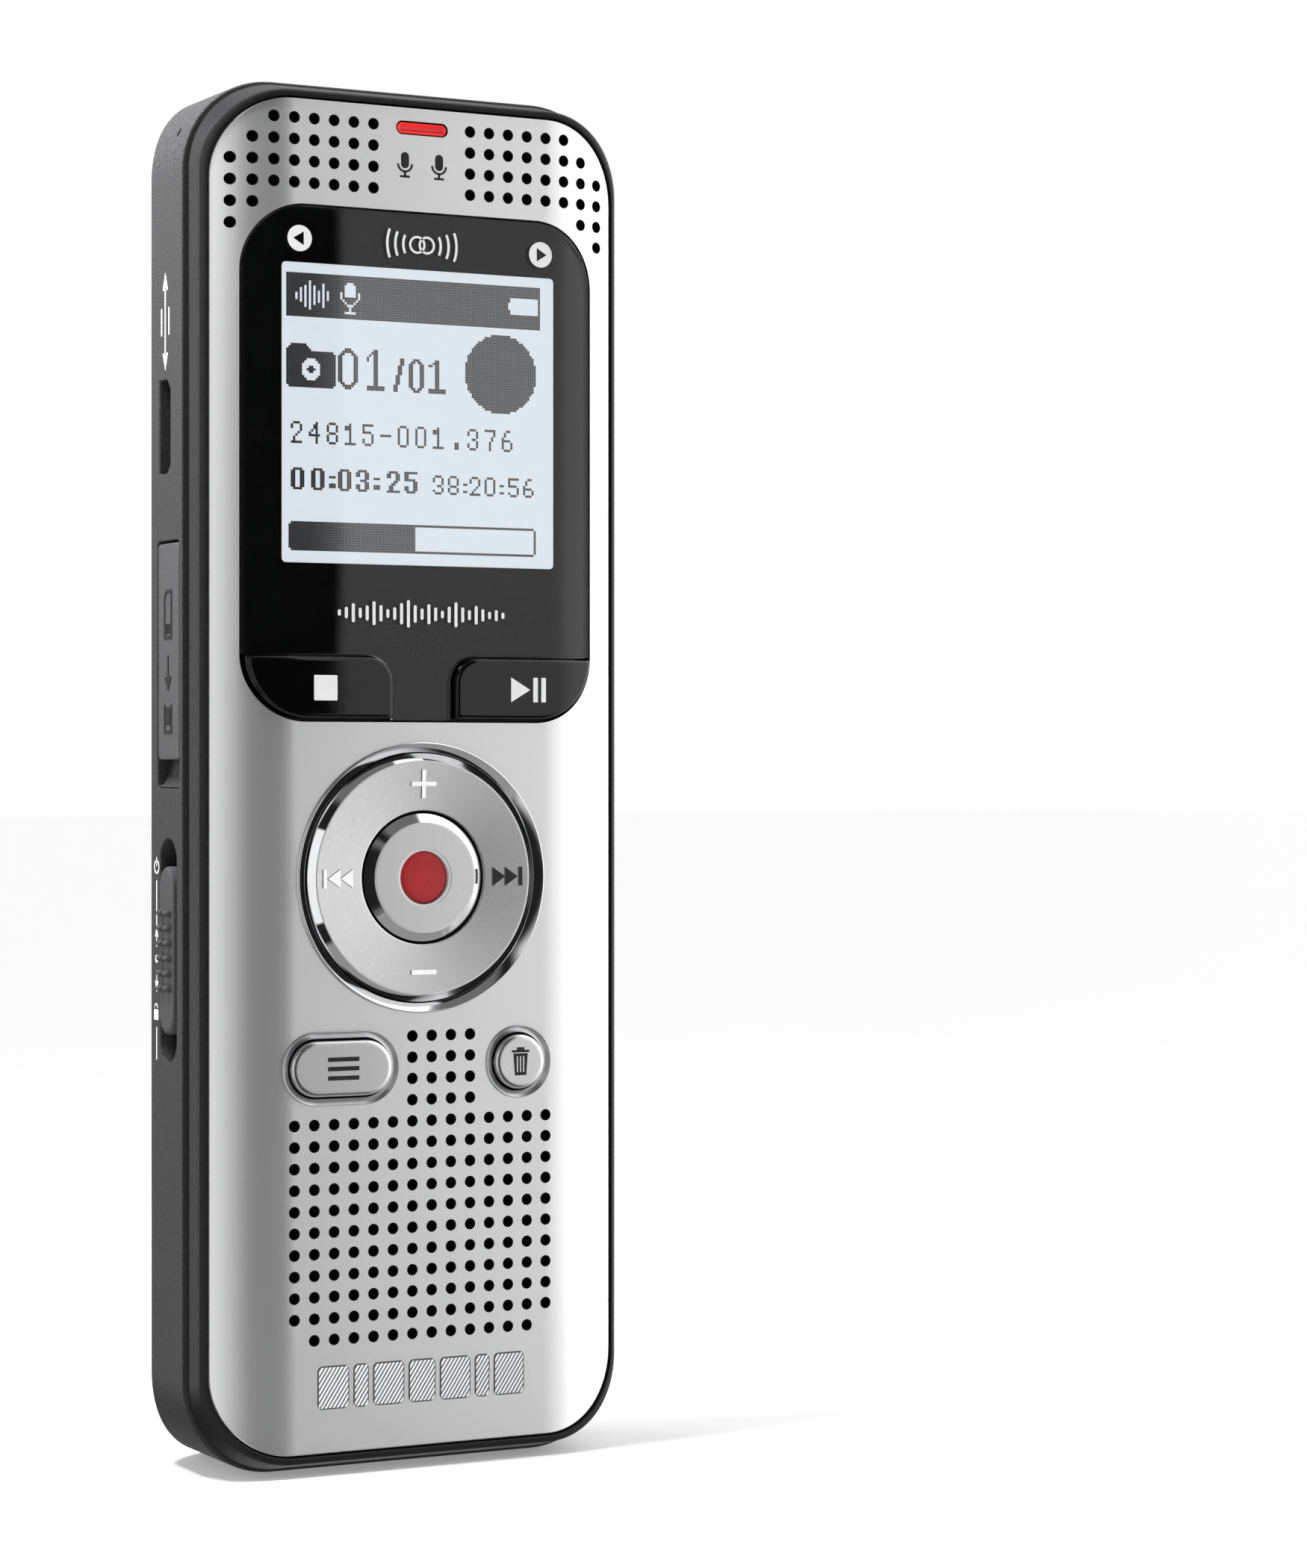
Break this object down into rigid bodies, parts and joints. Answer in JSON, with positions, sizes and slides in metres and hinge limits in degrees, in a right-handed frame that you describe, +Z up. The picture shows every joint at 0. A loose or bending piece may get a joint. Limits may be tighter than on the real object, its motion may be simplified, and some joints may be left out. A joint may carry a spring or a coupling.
{
  "type": "handheld voice recorder",
  "caption": "Upright handheld voice recorder with a square display, a round navigation control, push buttons, a hold slider, two AAA cells and side covers.",
  "frame": {"origin": "on the flat base face, at the middle of the width and about the middle of the depth; the recorder stands upright", "axes": "+Z up along the recorder's length, its front with display and buttons faces -Y, +X towards the right side as seen from the front"},
  "size_m": [0.0389, 0.0184, 0.1105],
  "materials": {
    "silver_paint": "fine metallic silver paint, satin",
    "black_case": "fine matt moulded black",
    "grey_shell": "matt dark grey moulded plastic with a very fine grain",
    "gloss_black": "polished black",
    "clear_window": "clear acrylic window printed black on its back round the display",
    "display_glass": "pale lit display with dark grey pixels",
    "chrome": "bright chrome plating on plastic",
    "silver_button": "satin silver plating with bright bevels",
    "red_plastic": "satin red",
    "steel": "plain bright steel",
    "board_green": "green solder mask",
    "chip_black": "matt black",
    "rubber": "soft matt silicone rubber",
    "white_plastic": "white moulded plastic",
    "cell_wrap": "plain blue sleeve over a metal can",
    "paper_cone": "dark paper"
  },
  "bodies": {
    "housing": {"front_plate": "silver_paint", "front_case": "black_case", "rear_shell": "grey_shell", "display_lens": "clear_window", "lcd_glass": "display_glass", "backlight_guide": "white_plastic", "lcd_holder": "white_plastic", "nav_bezel": "chrome", "menu_bezel": "chrome", "delete_bezel": "chrome", "record_light": "red_plastic", "light_led": "white_plastic", "slide_switch": "steel", "usb_socket": "steel", "usb_tongue": "chip_black", "card_socket": "steel", "earphone_jack": "chip_black", "microphone_jack": "chip_black", "main_board": "board_green", "processor_chip": "chip_black", "memory_chip": "chip_black", "key_board": "board_green", "keypad_membrane": "rubber", "speaker_gasket": "rubber", "speaker_frame": "steel", "speaker_cone": "paper_cone", "speaker_magnet": "steel", "microphone_boot_left": "rubber", "microphone_boot_right": "rubber", "microphone_left": "steel", "microphone_right": "steel", "battery_tray": "black_case", "battery_left": "cell_wrap", "battery_right": "cell_wrap", "contact_bridge": "steel", "contact_positive": "steel", "contact_negative": "steel", "spring_left": "steel", "spring_right": "steel", "screw_top_left": "steel", "screw_top_right": "steel", "screw_bay": "steel"},
    "stop_key": {"stop_button": "gloss_black"},
    "play_key": {"play_button": "gloss_black"},
    "record_key": {"record_button": "silver_button", "record_dot": "red_plastic"},
    "menu_key": {"menu_button": "silver_button"},
    "delete_key": {"delete_button": "silver_button"},
    "nav_carrier": {"nav_cushion": "rubber"},
    "nav_rocker": {"nav_ring": "silver_button"},
    "hold_switch": {"hold_slider": "grey_shell", "switch_stem": "white_plastic"},
    "card_cover": {"card_door": "grey_shell"},
    "battery_cover": {"battery_door": "grey_shell"}
  },
  "joints": [
    {"name": "stop_press", "type": "slide", "parent": "housing", "child": "stop_key", "axis": [0, 1, 0], "range_m": [0, 0.0005], "stiffness_N_per_m": 1500},
    {"name": "play_press", "type": "slide", "parent": "housing", "child": "play_key", "axis": [0, 1, 0], "range_m": [0, 0.0005], "stiffness_N_per_m": 1500},
    {"name": "record_press", "type": "slide", "parent": "housing", "child": "record_key", "axis": [0, 1, 0], "range_m": [0, 0.0005], "stiffness_N_per_m": 1500},
    {"name": "menu_press", "type": "slide", "parent": "housing", "child": "menu_key", "axis": [0, 1, 0], "range_m": [0, 0.0005], "stiffness_N_per_m": 1500},
    {"name": "delete_press", "type": "slide", "parent": "housing", "child": "delete_key", "axis": [0, 1, 0], "range_m": [0, 0.0005], "stiffness_N_per_m": 1500},
    {"name": "nav_tilt_up_down", "type": "hinge", "parent": "housing", "child": "nav_carrier", "pos_m": [0, -0.0066, 0.04721], "axis": [1, 0, 0], "range_deg": [-1.4, 1.4], "stiffness_Nm_per_rad": 0.4},
    {"name": "nav_tilt_left_right", "type": "hinge", "parent": "nav_carrier", "child": "nav_rocker", "pos_m": [0, -0.0066, 0.04721], "axis": [0, 0, 1], "range_deg": [-1.4, 1.4], "stiffness_Nm_per_rad": 0.4},
    {"name": "hold_slide", "type": "slide", "parent": "housing", "child": "hold_switch", "axis": [0, 0, 1], "range_m": [-0.0021, 0.0021]},
    {"name": "card_door_hinge", "type": "hinge", "parent": "housing", "child": "card_cover", "pos_m": [-0.019, -0.0025, 0.0737], "axis": [0, 1, 0], "range_deg": [0, 90]},
    {"name": "battery_door_hinge", "type": "hinge", "parent": "housing", "child": "battery_cover", "pos_m": [0, 0.00875, 0.00565], "axis": [-1, 0, 0], "range_deg": [0, 60]}
  ]
}
